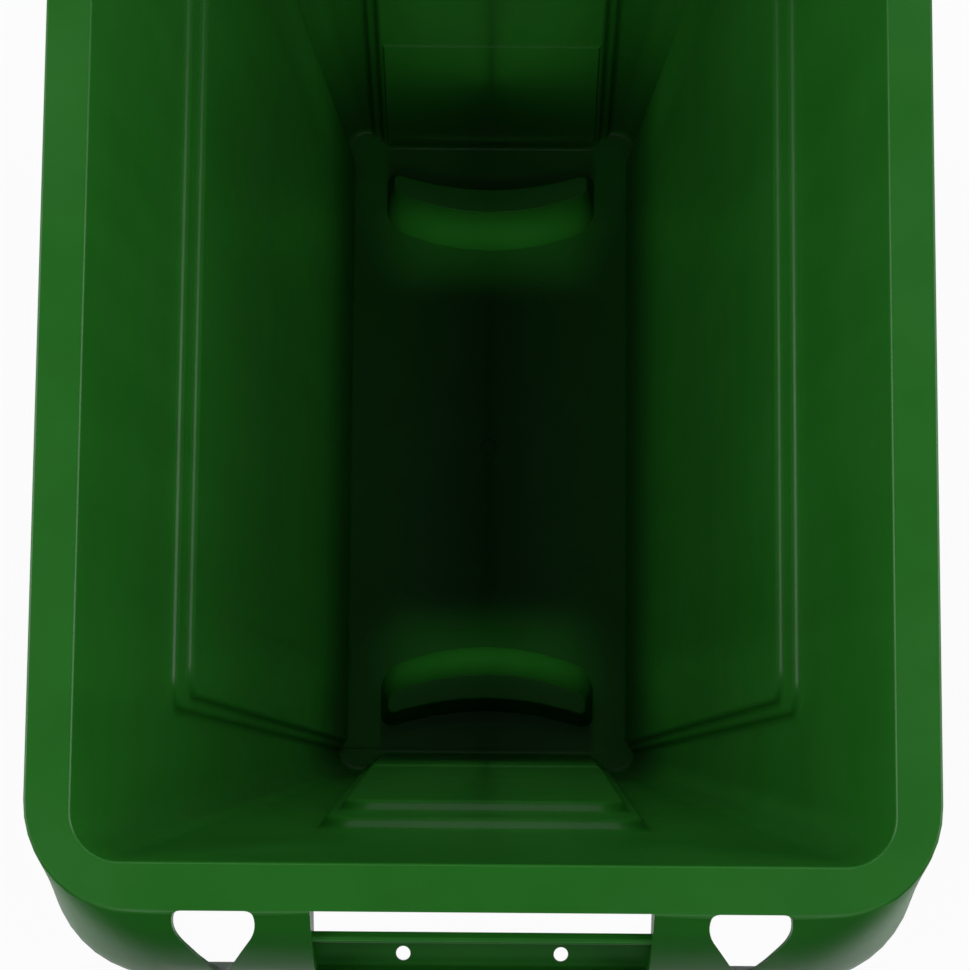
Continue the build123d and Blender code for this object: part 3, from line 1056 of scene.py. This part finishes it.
def make_lamps():
    """Soft panels round the mouth, and the light that the thin walls let through to the inside."""
    mouth = Vector((0, 0, height))
    for kind in studio_lamps:
        sides = (-1, 1) if kind.side_lean else (1,)
        for side in sides:
            way = Vector((side * math.tan(kind.side_lean), math.tan(kind.end_lean), 1)).normalized()
            place = mouth + way * lamp_distance
            make_lamp(f"{kind.name}_{side}", place, mouth, (kind.width, kind.length), kind.power)
    for kind in inner_lamps:
        for side in (-1, 1):
            place = side * kind.reach * Vector(kind.way) + Vector((0, 0, kind.level))
            aim = place + side * Vector(kind.way) + Vector((0, 0, kind.slope))
            lamp = make_lamp(f"{kind.name}_{side}", place, aim, (kind.width, kind.height), kind.power)
            lamp.data.spread = kind.spread
            lamp.visible_camera = False
            lamp.visible_glossy = False


def add_noise(nodes, links, place, scale, detail):
    noise = nodes.new("ShaderNodeTexNoise")
    noise.inputs["Scale"].default_value = scale
    noise.inputs["Detail"].default_value = detail
    links.new(place, noise.inputs["Vector"])
    return noise.outputs["Fac"]


def spread(nodes, links, value, low, high):
    """Stretch a noise value, which stays near its middle, to a range."""
    stretch = nodes.new("ShaderNodeMapRange")
    stretch.inputs["From Min"].default_value = noise_low
    stretch.inputs["From Max"].default_value = noise_high
    stretch.inputs["To Min"].default_value = low
    stretch.inputs["To Max"].default_value = high
    links.new(value, stretch.inputs["Value"])
    return stretch.outputs["Result"]


def green_plastic():
    """Moulded plastic: faint upright flow streaks, uneven gloss and a fine peel."""
    material, nodes, links, shader = node_material("green_moulded_plastic")
    place = nodes.new("ShaderNodeTexCoord").outputs["Object"]
    upright = nodes.new("ShaderNodeMapping")
    upright.inputs["Scale"].default_value = (1, 1, streak_height_share)
    links.new(place, upright.inputs["Vector"])
    streaks = add_noise(nodes, links, upright.outputs["Vector"], streak_scale, streak_detail)
    clouds = add_noise(nodes, links, place, cloud_scale, cloud_detail)
    peel = add_noise(nodes, links, place, peel_scale, fine_detail)
    colours = nodes.new("ShaderNodeMix")
    colours.data_type = "RGBA"
    colours.inputs["A"].default_value = plastic_colour_low
    colours.inputs["B"].default_value = plastic_colour_high
    links.new(spread(nodes, links, streaks, 0, 1), colours.inputs["Factor"])
    links.new(colours.outputs["Result"], shader.inputs["Base Color"])
    roughness = spread(nodes, links, clouds, plastic_roughness_low, plastic_roughness_high)
    links.new(roughness, shader.inputs["Roughness"])
    bump = nodes.new("ShaderNodeBump")
    bump.inputs["Strength"].default_value = peel_strength
    bump.inputs["Distance"].default_value = peel_depth
    links.new(peel, bump.inputs["Height"])
    links.new(bump.outputs["Normal"], shader.inputs["Normal"])
    shader.inputs["Specular IOR Level"].default_value = plastic_specular
    return material


make_camera()
make_world()
make_studio_floor()
make_lamps()
plastic = green_plastic()
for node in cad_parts.values():
    node.data.materials.clear()
    node.data.materials.append(plastic)

shell = wall_shell()
make_tub(shell)
make_floor_plate(shell)
bpy.data.objects.remove(shell)
make_brim()
make_webs()
make_trough(-1, "front")
make_trough(1, "rear")

bpy.context.scene.view_settings.view_transform = "Standard"
